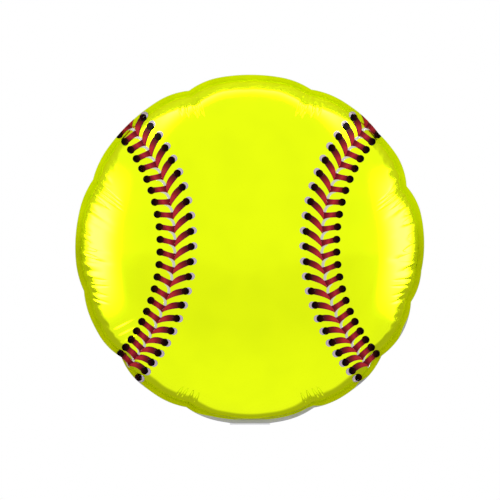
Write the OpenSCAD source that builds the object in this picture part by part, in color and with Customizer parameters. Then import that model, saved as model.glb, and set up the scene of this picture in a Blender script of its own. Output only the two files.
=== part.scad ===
// Round foil balloon printed as a softball, filled, with its tail folded back behind it.
// The printed face looks along -Y and +Z is up. The origin is the middle of the welded rim.
// Films and inks are drawn far thicker than they are, so that they are solids with two sides.

/* [Envelope] */
// Diameter of the flat disc that each film is cut to
disc_d = 457.2; // [250:0.1:900]
// Width of the welded hem outside the weld line
hem_w = 5; // [3:0.5:10]
// Thickness that each film is drawn at
film_t = 0.5; // [0.4:0.05:0.8]
// Depth of the deepest notch between two lobes of the rim
notch_d = 6; // [0:0.5:9]

/* [Tail] */
// Width of the weld down each side of the tail
tail_weld_w = 5; // [3:0.5:10]
// Length of the tail past the ends of the valve films
tail_end_l = 22; // [16:1:50]
// Corner radius at the tail's end
tail_corner_r = 12; // [4:1:16]
// Angle from hanging straight down to lying folded behind the balloon
tail_fold = 104; // [0:1:106]
// Gap from the crease to the film on each side of it
crease_gap = 1.2; // [1.1:0.1:2]
// Diameter of the hole that the ribbon is tied through
ribbon_hole_d = 5; // [3:0.5:8]
// Distance of the ribbon hole's centre from the tail's end
ribbon_hole_end = 9; // [7:0.5:12]

/* [Valve] */
// Width of the two valve films
valve_w = 30; // [20:1:32]
// Thickness that each valve film is drawn at
valve_t = 0.15; // [0.1:0.01:0.16]
// Gap between the two valve films, where the gas passes
valve_gap = 0.2; // [0.16:0.01:0.22]
// Length of the valve films from the crease up into the balloon
valve_up_l = 112; // [60:1:130]
// Diameter of the hole that the inflator's nozzle goes into
inlet_d = 10; // [6:0.5:12]
// Distance of the inlet's centre from the crease
inlet_from_crease = 38; // [30:1:60]
// Length of the valve films past the inlet's edge
inlet_margin = 7; // [3:0.5:12]
// Length of the release coat that keeps the valve films from welding together
coat_l = 34; // [15:1:50]
// Thickness that the release coat is drawn at
coat_t = 0.1; // [0.05:0.01:0.12]

/* [Printed lacing] */
// Number of whole stitches in each row of lacing
stitches = 20; // [4:1:20]
// Reach of a stitch from the seam towards the balloon's middle
inner_reach = 12.7; // [9:0.1:16]
// Reach of a stitch from the seam towards the rim
outer_reach = 12.6; // [9:0.1:16]
// Width of a stitch at its hole
stitch_w = 5; // [2:0.1:6]
// Diameter of a printed stitch hole
stitch_hole_d = 7; // [3:0.1:8]
// How far the pale rim of a hole shows past the hole
hole_rim_w = 2.8; // [1:0.1:4]
// Width of the pale seam line between the stitches
seam_line_w = 2.8; // [1:0.1:4]
// Thickness that each ink is drawn at
ink_t = 0.1; // [0.08:0.01:0.14]
// Gap below each ink
ink_gap = 0.24; // [0.2:0.01:0.26]

/* [Hidden] */

// Cuts run past the faces that they open by this much
overrun = 1;
// Room on each side of a valve film in its pocket
valve_slack = 0.05;

// A filled foil disc has x = r sin(t) from its middle, t = 0, to its weld line, t = 90.
// Its arc from the middle and its depth from the crown are sums over t, as shares of r.
fine_steps = 180;
fine_angle = 90 / fine_steps;
fine_share = fine_angle * PI / 180;
function arc_rate(t) = 1 / sqrt(1 + pow(sin(t), 2));
function depth_rate(t) = pow(sin(t), 2) * arc_rate(t);
arc_shares = [
    for (i = 0, s = 0; i <= fine_steps; s = s + fine_share * arc_rate((i + 1 / 2) * fine_angle), i = i + 1)
        [i * fine_angle, s]
];
depth_shares = [
    for (i = 0, s = 0; i <= fine_steps; s = s + fine_share * depth_rate((i + 1 / 2) * fine_angle), i = i + 1)
        [i * fine_angle, s]
];
weld_r = (disc_d / 2 - hem_w) / arc_shares[fine_steps][1];
hem_r = weld_r + hem_w;
half_depth = weld_r * depth_shares[fine_steps][1];

// Rings of the envelope's mesh, from the first round the middle out to the weld line
rings = 14;
ring_shares = [for (i = [0 : rings]) sin(90 * i / rings)];
ring_depths = [for (i = [0 : rings]) half_depth - weld_r * lookup(90 * i / rings, depth_shares)];
ring_places = [for (i = [0 : rings]) [ring_shares[i], ring_depths[i]]];

// Notches of the rim, clockwise from the top as the printed face is seen
notch_angle = [21, 48, 68, 97, 108, 129, 158, 202, 230, 256, 294, 339];
notch_shares = [0.6, 0.25, 0.95, 0.2, 0.75, 0.75, 0.6, 0.6, 1, 0.5, 0.5, 0.75];
// Half the width of a notch at the rim
notch_half_angle = 11;
// A notch's crease starts at this share of the weld radius and deepens out to the rim
crease_start_share = 0.9;
// Widest step of the mesh round a lobe
lobe_step_angle = 4;

notches = len(notch_angle);
function lobe_angle(k) = (notch_angle[(k + 1) % notches] - notch_angle[k] + 360) % 360;
rim_angles = [
    for (k = [0 : notches - 1])
        let (steps = ceil(lobe_angle(k) / lobe_step_angle))
        for (i = [0 : steps - 1])
            notch_angle[k] + lobe_angle(k) * i / steps
];
sides = len(rim_angles);

function sum(v, i = 0) = i < len(v) ? v[i] + sum(v, i + 1) : 0;
function apart(a, b) = let (d = abs(a - b) % 360) min(d, 360 - d);
function dip(a, k) = pow(max(0, 1 - apart(a, notch_angle[k]) / notch_half_angle), 2);
// How far the rim is drawn in at an angle
function pinch(a) = notch_d * sum([for (k = [0 : notches - 1]) notch_shares[k] * dip(a, k)]);
// How much of that is left at a share q of the weld radius
function crease(q) = pow(max(0, (q - crease_start_share) / (1 - crease_start_share)), 3 / 2);

// A point of the printed film's outer face, moved out of that face by lift
function skin(q, depth, a, lift) =
    let (
        radius = weld_r * q - pinch(a) * crease(q) + lift * q * q,
        out = depth + film_t + lift * sqrt(max(0, 1 - pow(q, 4)))
    )
    [radius * sin(a), -out, radius * cos(a)];

function ring_points(lift) = [
    for (i = [1 : rings])
        for (a = rim_angles)
            skin(ring_shares[i], ring_depths[i], a, lift)
];

// Two triangles between ring near and the next one out, on rays j and k. Their shared edge runs out to the
// ray that is drawn in further, so that it lies along the fold.
function fold_faces(near, j, k) =
    let (far = near + sides)
    pinch(rim_angles[k]) < pinch(rim_angles[j])
        ? [[near + j, far + j, near + k], [near + k, far + j, far + k]]
        : [[near + j, far + j, far + k], [near + j, far + k, near + k]];

// Faces of one side of the panel. first is the crown's index, and flip turns them inside out.
function panel_faces(first, flip) = [
    for (j = [0 : sides - 1])
        let (
            k = (j + 1) % sides,
            folds = [for (i = [0 : rings - 2]) fold_faces(first + 1 + i * sides, j, k)]
        )
        for (f = concat([[first, first + 1 + j, first + 1 + k]], [for (pair = folds) each pair]))
            flip ? [f[2], f[1], f[0]] : f
];

module panel() {
    face_points = 1 + rings * sides;
    rim = 1 + (rings - 1) * sides;
    rim_faces = [
        for (j = [0 : sides - 1])
            let (k = (j + 1) % sides)
            [rim + k, rim + j, face_points + rim + j, face_points + rim + k]
    ];
    polyhedron(
        points = concat(
            [skin(0, half_depth, 0, 0)], ring_points(0),
            [skin(0, half_depth, 0, -film_t)], ring_points(-film_t)
        ),
        faces = concat(panel_faces(0, false), panel_faces(face_points, true), rim_faces)
    );
}

module front_panel() {
    color([0.92, 1, 0])
        panel();
}

module back_panel() {
    color([0.75, 0.75, 0.78])
        mirror([0, 1, 0])
            panel();
}

tail_w = valve_w + 2 * tail_weld_w;
valve_down_l = inlet_from_crease + inlet_d / 2 + inlet_margin;
tail_l = valve_down_l + tail_end_l;
// The hem's edge is straight across the tail, and the crease lies just outside it
neck_z = sqrt(pow(hem_r, 2) - pow(tail_w / 2, 2));
crease_z = neck_z + crease_gap;
valve_stack_t = valve_gap + 2 * valve_t;
pocket_w = valve_w + 2 * valve_slack;
pocket_t = valve_stack_t + 2 * valve_slack;

function round_rim(r) = [for (a = rim_angles) (r - pinch(a)) * [sin(a), cos(a)]];

// A flat outline in X and Z, made into a plate whose middle lies at y
module plate(t, y) {
    translate([0, y, 0])
        rotate([90, 0, 0])
            linear_extrude(height = t, center = true)
                children();
}

module weld_hem() {
    color([0.85, 0.93, 0])
        difference() {
            plate(2 * film_t, 0)
                difference() {
                    polygon(round_rim(hem_r));
                    polygon(round_rim(weld_r - film_t));
                    translate([-tail_w / 2, -hem_r - overrun])
                        square([tail_w, hem_r - neck_z + overrun]);
                }
            plate(pocket_t, 0)
                translate([-pocket_w / 2, -hem_r])
                    square([pocket_w, 2 * hem_w + film_t + overrun]);
        }
}

module valve_film(y) {
    color([0.85, 0.88, 0.9, 0.5])
        plate(valve_t, y)
            translate([-valve_w / 2, -neck_z])
                square([valve_w, valve_up_l]);
}

module valve_front_film() {
    valve_film(-(valve_gap + valve_t) / 2);
}

module valve_back_film() {
    valve_film((valve_gap + valve_t) / 2);
}

module valve_release_coat() {
    coat_w = valve_w * 2 / 3;
    color([0.6, 0.75, 0.85])
        plate(coat_t, 0)
            translate([-coat_w / 2, -neck_z])
                square([coat_w, coat_l]);
}

// The tail is drawn hanging from its crease, then folded about it
module folded() {
    translate([0, 0, -crease_z])
        rotate([tail_fold, 0, 0])
            children();
}

module tail_outline() {
    translate([-tail_w / 2, tail_corner_r - tail_l])
        square([tail_w, tail_l - tail_corner_r - crease_gap]);
    translate([tail_corner_r - tail_w / 2, -tail_l])
        square([tail_w - 2 * tail_corner_r, tail_corner_r + overrun]);
    for (side = [-1, 1])
        translate([side * (tail_w / 2 - tail_corner_r), tail_corner_r - tail_l])
            circle(r = tail_corner_r, $fn = 48);
}

// A hole through the tail's films, d wide and its centre down from the crease
module film_hole(d, down) {
    translate([0, 0, -down])
        rotate([90, 0, 0])
            cylinder(h = 2 * film_t + 2 * overrun, d = d, center = true, $fn = 48);
}

module tail_ply(side) {
    color([0.75, 0.75, 0.78])
        difference() {
            plate(film_t, side * film_t / 2)
                tail_outline();
            plate(pocket_t, 0)
                translate([-pocket_w / 2, -valve_down_l - valve_slack])
                    square([pocket_w, valve_down_l + valve_slack]);
            film_hole(ribbon_hole_d, tail_l - ribbon_hole_end);
            if (side < 0)
                film_hole(inlet_d, inlet_from_crease);
        }
}

module tail_front_ply() {
    folded() tail_ply(-1);
}

module tail_back_ply() {
    folded() tail_ply(1);
}

module inlet_film(side) {
    color([0.85, 0.88, 0.9, 0.5])
        difference() {
            plate(valve_t, side * (valve_gap + valve_t) / 2)
                translate([-valve_w / 2, -valve_down_l])
                    square([valve_w, valve_down_l - crease_gap]);
            if (side < 0)
                film_hole(inlet_d, inlet_from_crease);
        }
}

module inlet_front_film() {
    folded() inlet_film(-1);
}

module inlet_back_film() {
    folded() inlet_film(1);
}

// Share q of the weld radius at a place of the printed face, found by trying again from the last q
function weld_share(radius, a, q, tries) =
    tries == 0 ? q : weld_share(radius, a, (radius + pinch(a) * crease(q)) / weld_r, tries - 1);

// A place [x, z] of the printed face, moved out of that face by lift. q is its share of the weld radius.
function depth_at(q) = half_depth - weld_r * lookup(asin(min(1, q)), depth_shares);
function printed(place, lift) =
    let (
        a = atan2(place[0], place[1]),
        q = weld_share(norm(place), a, norm(place) / weld_r, 4)
    )
    skin(q, depth_at(q), a, lift);

// The way out of the printed face at a place, from two short steps across it
probe = stitch_w / 10;
function outward(place) =
    let (n = cross(
        printed(place + [probe, 0], 0) - printed(place - [probe, 0], 0),
        printed(place + [0, probe], 0) - printed(place - [0, probe], 0)
    ))
    n / norm(n);

// The lacing follows three arcs whose centres lie beside the balloon, as shares of the weld radius
seam_arc_share = 1.0513;
seam_centre_share = 1.4822;
inner_centre_share = 1.4629;
outer_centre_share = 1.494;
centre_up_share = 0.0264;
// A row of the lacing: its arc's centre and radius, and the angle at which the arc meets the weld line
function row(centre, r) =
    [centre, r, acos((pow(centre, 2) + pow(r, 2) - pow(weld_r, 2)) / (2 * centre * r))];
seam_arc_r = seam_arc_share * weld_r;
point_row = row(seam_centre_share * weld_r, seam_arc_r);
inner_row = row(inner_centre_share * weld_r, seam_arc_r + inner_reach);
outer_row = row(outer_centre_share * weld_r, seam_arc_r - outer_reach);

// How a row fills that angle: where its stitches lie widest apart, as a share of the angle and of the
// stitches, and the angle that all of them would fill at that spacing
point_shares = [0.0722, 0.45, 2.077];
inner_shares = [0.0709, 0.51, 2.058];
outer_shares = [0.0458, 0.5, 2.082];
// The stitches crowd together towards both ends of a row, and would meet at this share of them
crowding_share = 1.525;
function stitch_angle(row, shares, i) =
    let (k = i / stitches - shares[1])
    row[2] * (shares[0] - shares[2] * k * (1 - pow(abs(k) / crowding_share, 9 / 4)));
function on_arc(side, row, reach, a) =
    [side * (row[0] - (row[1] + reach) * cos(a)), centre_up_share * weld_r + (row[1] + reach) * sin(a)];
// The point of stitch i, where its two arms meet on the seam, and the holes that they go into
function point_angle(i) = stitch_angle(point_row, point_shares, i);
function stitch_point(side, i) = on_arc(side, point_row, 0, point_angle(i));
function inner_hole(side, i) = on_arc(side, inner_row, 0, stitch_angle(inner_row, inner_shares, i));
function outer_hole(side, i) = on_arc(side, outer_row, 0, stitch_angle(outer_row, outer_shares, i));
// Distance along the seam from one point to the next
function pitch(i) = seam_arc_r * (point_angle(i - 1 / 2) - point_angle(i + 1 / 2)) * PI / 180;

// A place near the point of stitch i: step[0] goes towards the balloon's middle, and step[1] up the seam
function near_point(side, i, step) =
    let (a = point_angle(i))
    on_arc(side, point_row, step[0], a) + step[1] * [side * sin(a), cos(a)];

// Levels of the three inks above the film
function ink_lift(layer) = ink_gap + layer * (ink_t + ink_gap);

// One printed stroke from a to b, bowed to the left of its way by bow, as wide as the widths along it
longest_step = 3;
module stroke(a, b, bow, widths, layer) {
    steps = max(len(widths) - 1, ceil(norm(b - a) / longest_step));
    across = [a[1] - b[1], b[0] - a[0]] / norm(b - a);
    middle = (a + b) / 2 + 2 * bow * across;
    width_along = [for (i = [0 : len(widths) - 1]) [i / (len(widths) - 1), widths[i]]];
    edge_places = [
        for (i = [0 : steps])
            let (
                s = i / steps,
                along = (1 - s) * (middle - a) + s * (b - middle),
                left = [-along[1], along[0]] / norm(along) * lookup(s, width_along) / 2,
                centre = (1 - s) * (1 - s) * a + 2 * s * (1 - s) * middle + s * s * b
            )
            each [centre + left, centre - left]
    ];
    bottom = ink_lift(layer);
    n = len(edge_places);
    strip = [
        for (i = [0 : steps - 1])
            each [[2 * i, 2 * i + 2, 2 * i + 1], [2 * i + 1, 2 * i + 2, 2 * i + 3]]
    ];
    border = concat([for (i = [0 : steps]) 2 * i], [for (i = [steps : -1 : 0]) 2 * i + 1]);
    polyhedron(
        points = concat(
            [for (p = edge_places) printed(p, bottom + ink_t)],
            [for (p = edge_places) printed(p, bottom)]
        ),
        faces = concat(
            strip,
            [for (f = strip) [f[2] + n, f[1] + n, f[0] + n]],
            [
                for (i = [0 : n - 1])
                    let (p = border[i], q = border[(i + 1) % n])
                    each [[q, p, p + n], [q, p + n, q + n]]
            ]
        )
    );
}

// One printed disc, flat against the film
module dot(place, d, layer) {
    way = outward(place);
    translate(printed(place, 0) + ink_lift(layer) * way)
        rotate(a = acos(way[2]), v = cross([0, 0, 1], way))
            cylinder(h = ink_t, d = d, $fn = 32);
}

// The pale seam shows as a short curve between each stitch and the next. Its two ends lie at shares of a
// stitch's reach and of the pitch from the stitch's point, and it is narrow where it comes out from under it.
seam_line_start_shares = [-0.437, 0.21];
seam_line_end_shares = [-0.01, -0.467];
seam_line_bow_share = 0.148;
seam_line_shares = [0.5, 0.9, 1, 1];

module seam_line(side) {
    color([0.84, 0.84, 0.75])
        for (i = [1 : stitches]) {
            from = [seam_line_start_shares[0] * outer_reach, seam_line_start_shares[1] * pitch(i)];
            to = [seam_line_end_shares[0] * outer_reach, seam_line_end_shares[1] * pitch(i)];
            stroke(
                near_point(side, i, from), near_point(side, i, to),
                -side * seam_line_bow_share * outer_reach, seam_line_shares * seam_line_w, 0
            );
        }
}

module left_seam_line() {
    seam_line(-1);
}

module right_seam_line() {
    seam_line(1);
}

// A pale disc lies behind each inner hole, further out and a little up the seam
rim_way_angle = 22;

module hole_rims(side) {
    color([0.75, 0.65, 0.84])
        for (i = [1 : stitches]) {
            way = point_angle(i) + rim_way_angle;
            dot(inner_hole(side, i) + hole_rim_w * [-side * cos(way), sin(way)], stitch_hole_d, 0);
        }
}

module left_hole_rims() {
    hole_rims(-1);
}

module right_hole_rims() {
    hole_rims(1);
}

// Each stitch is a V that points down the seam. A bowed arm widens from the point to the inner hole, and
// a straighter one starts beside it and goes to the outer hole.
bowed_arm_bow_share = 0.22;
bowed_arm_shares = [0.1, 0.65, 0.85, 0.95, 1];
// The straighter arm starts at these shares of a stitch's width from the point
straight_arm_start_shares = [-0.4, 0.73];
straight_arm_bow_share = 0.04;
straight_arm_shares = [1, 1, 1];

module lacing(side) {
    color([0.69, 0.12, 0.2])
        for (i = [1 : stitches]) {
            stroke(
                stitch_point(side, i), inner_hole(side, i),
                -side * bowed_arm_bow_share * inner_reach, bowed_arm_shares * stitch_w, 1
            );
            stroke(
                near_point(side, i, straight_arm_start_shares * stitch_w), outer_hole(side, i),
                side * straight_arm_bow_share * outer_reach, straight_arm_shares * stitch_w, 1
            );
        }
}

module left_stitches() {
    lacing(-1);
}

module right_stitches() {
    lacing(1);
}

module stitch_holes(side) {
    color([0.1, 0.02, 0.05])
        for (i = [1 : stitches]) {
            dot(inner_hole(side, i), stitch_hole_d, 2);
            dot(outer_hole(side, i), stitch_hole_d, 2);
        }
}

module left_stitch_holes() {
    stitch_holes(-1);
}

module right_stitch_holes() {
    stitch_holes(1);
}

front_panel();
back_panel();
weld_hem();
valve_front_film();
valve_back_film();
valve_release_coat();
tail_front_ply();
tail_back_ply();
inlet_front_film();
inlet_back_film();
left_seam_line();
right_seam_line();
left_hole_rims();
right_hole_rims();
left_stitches();
right_stitches();
left_stitch_holes();
right_stitch_holes();
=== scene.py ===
"""A round foil balloon printed as a softball, filled, straight on, with its tail folded behind it."""

import math

import bpy
import numpy as np
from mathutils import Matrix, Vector
from mathutils.geometry import delaunay_2d_cdt


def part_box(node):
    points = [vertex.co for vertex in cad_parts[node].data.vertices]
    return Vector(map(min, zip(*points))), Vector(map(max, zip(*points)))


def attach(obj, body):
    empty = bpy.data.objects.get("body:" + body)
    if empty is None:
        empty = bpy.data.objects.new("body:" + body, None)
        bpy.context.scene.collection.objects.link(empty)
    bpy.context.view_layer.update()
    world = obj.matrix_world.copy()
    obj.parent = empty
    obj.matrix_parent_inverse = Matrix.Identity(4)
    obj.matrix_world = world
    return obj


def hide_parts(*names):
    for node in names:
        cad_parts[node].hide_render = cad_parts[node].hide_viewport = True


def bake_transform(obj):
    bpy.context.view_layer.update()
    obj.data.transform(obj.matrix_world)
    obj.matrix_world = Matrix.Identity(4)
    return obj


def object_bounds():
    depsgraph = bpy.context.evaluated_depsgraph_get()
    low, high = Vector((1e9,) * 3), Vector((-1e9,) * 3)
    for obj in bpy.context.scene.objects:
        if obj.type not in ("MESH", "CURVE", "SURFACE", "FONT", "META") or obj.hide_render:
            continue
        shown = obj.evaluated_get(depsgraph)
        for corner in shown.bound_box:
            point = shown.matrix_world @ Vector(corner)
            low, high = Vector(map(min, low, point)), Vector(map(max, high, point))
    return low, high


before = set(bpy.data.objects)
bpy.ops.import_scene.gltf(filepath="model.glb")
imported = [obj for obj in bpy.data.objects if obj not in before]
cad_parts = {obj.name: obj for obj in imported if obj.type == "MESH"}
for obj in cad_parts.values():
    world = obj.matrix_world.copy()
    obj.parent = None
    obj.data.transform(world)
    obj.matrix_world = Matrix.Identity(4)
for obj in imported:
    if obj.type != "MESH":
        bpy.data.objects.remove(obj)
cad_box = [list(corner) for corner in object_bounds()]

# Camera: level with the balloon's middle and straight in front of its printed face, from far enough
# away that the print isn't spread. The picture is this wide and this high where the balloon is widest.
PICTURE_WIDTH = 0.5014
CAMERA_DISTANCE = 12
CAMERA_UP = -0.0005
SENSOR_WIDTH = 36

camera = bpy.data.objects.new("camera", bpy.data.cameras.new("camera"))
camera.data.sensor_width = SENSOR_WIDTH
camera.data.lens = SENSOR_WIDTH * CAMERA_DISTANCE / PICTURE_WIDTH
camera.data.clip_end = 100
camera.location = (0, -CAMERA_DISTANCE, CAMERA_UP)
camera.rotation_euler = (math.pi / 2, 0, 0)
bpy.context.scene.collection.objects.link(camera)
bpy.context.scene.camera = camera
bpy.context.scene.view_settings.view_transform = "Standard"

# Front film: a disc of thin metallised film, printed fluorescent yellow-green, that the gas blows up
# into a dome. Its spare width near the rim gathers into lobes with notches between them, and into
# short puckers and folds that run in from the weld.
MM = 0.001
film_t = (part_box("weld_hem")[1].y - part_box("weld_hem")[0].y) / 2
dome_depth = -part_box("front_panel")[0].y - film_t

# A filled foil disc has x = r sin(t) from its middle, t = 0, to its weld line, t = 90 degrees
turn = np.linspace(0, math.pi / 2, 361)
arc_rate = 1 / np.sqrt(1 + np.sin(turn) ** 2)


def running_sum(rate):
    steps = (rate[1:] + rate[:-1]) / 2 * (turn[1] - turn[0])
    return np.concatenate([[0], np.cumsum(steps)])


arc_table = running_sum(arc_rate)
depth_table = running_sum(np.sin(turn) ** 2 * arc_rate)
weld_r = dome_depth / depth_table[-1]

# Notches of the rim, clockwise from the top: degrees, and millimetres drawn in
NOTCHES = [
    (21, 3.6), (48, 1.5), (68, 5.6), (97, 1.2), (108, 4.3), (129, 4.5),
    (158, 3.7), (202, 3.8), (230, 5.6), (256, 2.9), (294, 2.9), (339, 4.6),
]
NOTCH_HALF_WIDTH = 11
# Lobes between them that are a little lower than the rest: degrees, and millimetres
LOBES = [
    (0, 0.2), (38, 0), (60, 0.6), (82, 0.3), (98, 1.2), (114, 1.5), (144, 1.3), (180, 0.1),
    (216, 1.9), (243, 1.5), (275, 0.1), (316, 0.4), (360, 0.2),
]
FOLD_START = 0.86

# Folds pressed into the dome where it's drawn in. Each runs between two places of the face, in
# millimetres from its middle, and has a half width and a depth.
FOLDS = [
    (55.8, 152, 50, 131, 1.4, 1.8), (53, 152.5, 44.5, 130, 1.5, 2.4), (66.3, 148.5, 61, 130, 2.6, 1.6),
    (59, 151, 51.5, 128, 2.4, 1.8), (72, 146, 68, 132, 2.2, 1.0),
    (154, 57.6, 124, 36, 1.6, 2.4), (151.5, 60.5, 124.5, 41, 1.5, 1.9), (150, 64, 126, 46, 1.6, 1.9),
    (157, 53, 137, 38, 1.8, 1.6), (154, 66, 145, 60.5, 1.2, 2.0), (154.5, 62, 146, 56.5, 1.1, 2.0),
    (156, 58, 148, 53, 1.1, 1.8),
    (170, 19.5, 158, 13, 1.5, 2.6), (169.5, 10.5, 160, 6.5, 1.2, 2.2), (170, 6.5, 161, 3.2, 1.1, 2.0),
    (166, 1.7, 150.8, -2.3, 1.8, 2.4), (163, -5, 150, -9.2, 2.0, 1.3),
    (160, -30, 140, -31, 2.0, 0.8), (159, -36.7, 138.3, -37, 2.0, 0.8), (158, -44, 140, -47, 2.0, 1.0),
    (158, -50, 138.3, -54.5, 2.0, 1.2),
    (72, -145, 65, -134, 1.8, 1.8), (67.5, -147, 60, -136, 1.8, 2.2), (61, -151, 55.5, -138, 1.8, 2.4),
    (55.5, -153, 49.5, -140, 1.8, 2.2),
]
# Long shallow folds on the left only, where the film is drawn in under the lacing's lower end
LEFT_FOLDS = [
    (-135, -78, -111, -66.5, 2.6, 0.5), (-132, -85, -109, -74, 2.8, 0.55),
    (-128, -92, -105, -80, 2.8, 0.55), (-122.5, -97, -100, -86, 2.8, 0.45),
    (-120, -104.5, -103, -96, 2.8, 0.4), (-116, -111, -98, -99.5, 2.8, 0.4),
]

# Puckers: short valleys that run in from the weld. They're deep and close together at the two sides,
# where they lean over, and shallow and far apart at the top and bottom. From a share of the radius
# on they have their full depth.
SIDE_LEAN = 20
PUCKERS_FULL = 0.962


def make_puckers(seed):
    dice = np.random.default_rng(seed)
    rows = []
    for side in (-1, 1):
        angle = 50
        while angle < 125:
            near = math.exp(-(((angle - 83) / 20) ** 2))
            half_width = dice.uniform(1.2, 2.4)
            start = 0.94 - 0.2 * near * dice.uniform(0.3, 1)
            depth = (0.4 + 2.0 * near) * dice.uniform(0.15, 1.2) * half_width / 1.8
            rows.append((side * angle, half_width, start, depth, side * (SIDE_LEAN + dice.normal(0, 5))))
            angle += dice.uniform(2.4, 5.0)
    for angle in np.arange(0, 360, 7.5):
        rows.append((
            angle + dice.uniform(-2, 2), dice.uniform(2.5, 4), dice.uniform(0.86, 0.92),
            dice.uniform(0.02, 0.2), dice.normal(0, 8),
        ))
    return rows


front_puckers = make_puckers(18)
back_puckers = make_puckers(81)


def smooth(x):
    x = np.clip(x, 0, 1)
    return x * x * (3 - 2 * x)


def valley(u):
    """Across a fold: 1 on its line, nearly 0 at its half width and 0 a little past it."""
    return np.clip(1.2 - np.sqrt(u * u + 0.04), 0, 1) ** 1.7


def drawn_in(angle):
    """How far the rim is drawn in, in metres, at an angle in degrees clockwise from the top."""
    total = np.interp(angle % 360, *zip(*LOBES))
    for middle, depth in NOTCHES:
        off = np.abs((angle - middle + 180) % 360 - 180)
        total = total + depth * np.clip(1 - off / NOTCH_HALF_WIDTH, 0, 1) ** 2
    return total * MM


def pressed_in(angle, share, puckers):
    """Depth of the puckers and folds, in metres."""
    total = np.zeros(np.broadcast(angle, share).shape)
    for middle, half_width, start, depth, slant in puckers:
        off = (angle - middle - slant * (1 - share) + 180) % 360 - 180
        along = smooth((share - start) / (PUCKERS_FULL - start))
        total = total + depth * along * valley(off / half_width)
    x = weld_r / MM * share * np.sin(np.radians(angle))
    z = weld_r / MM * share * np.cos(np.radians(angle))
    for side, folds in ((-1, FOLDS), (1, FOLDS), (1, LEFT_FOLDS)):
        for x1, z1, x2, z2, half_width, depth in folds:
            way = np.array([x2 - x1, z2 - z1], float)
            length = np.hypot(*way)
            way /= length
            along = (side * x - x1) * way[0] + (z - z1) * way[1]
            off = (side * x - x1) * way[1] - (z - z1) * way[0]
            narrow = half_width * (0.35 + 0.65 * np.clip(1 - along / length, 0, 1))
            ends = smooth((along + 6) / 8) * smooth((length - along) / (0.7 * length))
            total = total + depth * ends * valley(off / narrow)
    return total * MM


def gathered(share):
    """How far the film follows its drawn-in rim: 0 up to where the folds start, and 1 at the weld."""
    return np.clip((share - FOLD_START) / (1 - FOLD_START), 0, 1) ** 1.5


def film_point(angle, share, lift=0, puckers=None):
    """A point of the film's outer face at a share of the weld radius, and lift out of that face."""
    t = np.arcsin(np.clip(share, 0, 1))
    depth = dome_depth - weld_r * np.interp(t, turn, depth_table)
    lift = lift - (0 if puckers is None else pressed_in(angle, share, puckers))
    radius = weld_r * share - drawn_in(angle) * gathered(share) + lift * share**2
    out = depth + film_t + lift * np.sqrt(np.clip(1 - share**4, 0, 1))
    turned = np.radians(angle)
    return np.stack(np.broadcast_arrays(radius * np.sin(turned), -out, radius * np.cos(turned)), -1)


def add_piece(name, points, faces):
    mesh = bpy.data.meshes.new(name)
    mesh.from_pydata(points.reshape(-1, 3).tolist(), [], [tuple(f) for f in faces])
    mesh.shade_smooth()
    piece = bpy.data.objects.new(name, mesh)
    bpy.context.scene.collection.objects.link(piece)
    return piece


def add_numbers(piece, name, values):
    """A number for each vertex, which the material reads by name."""
    attribute = piece.data.attributes.new(name, "FLOAT", "POINT")
    attribute.data.foreach_set("value", np.asarray(values, np.float32).ravel())


def ring_faces(first, sides, rings):
    """Triangles round a crown, then quads from ring to ring."""
    j = np.arange(sides)
    k = (j + 1) % sides
    faces = [(first, first + 1 + a, first + 1 + b) for a, b in zip(j, k)]
    for i in range(rings - 1):
        near, far = first + 1 + i * sides, first + 1 + (i + 1) * sides
        faces += list(zip(near + j, far + j, far + k, near + k))
    return faces


# Where folds lie close together: degrees from the top on both sides, and one place on the left alone
BUNDLES, LEFT_BUNDLE = (22, 71, 88, 104, 157), 233


def spread_round(count):
    """Angles round the film in degrees, closer together where the folds are."""
    fine = np.linspace(0, 360, 3601)
    closeness = np.ones(fine.shape)
    for middle in BUNDLES:
        for fold in (middle, 360 - middle):
            closeness += 1.8 * np.exp(-(((fine - fold) / 6) ** 4))
    closeness += 1.8 * np.exp(-(((fine - LEFT_BUNDLE) / 10) ** 4))
    total = np.concatenate([[0], np.cumsum(closeness[1:] + closeness[:-1])])
    return np.interp(np.arange(count) / count, total / total[-1], fine)


# Radius and middle, in the film's map, of its outer face and of its inner one
OUTER_MAP, INNER_MAP = (0.41, (0.42, 0.57)), (0.08, (0.91, 0.09))


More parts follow.
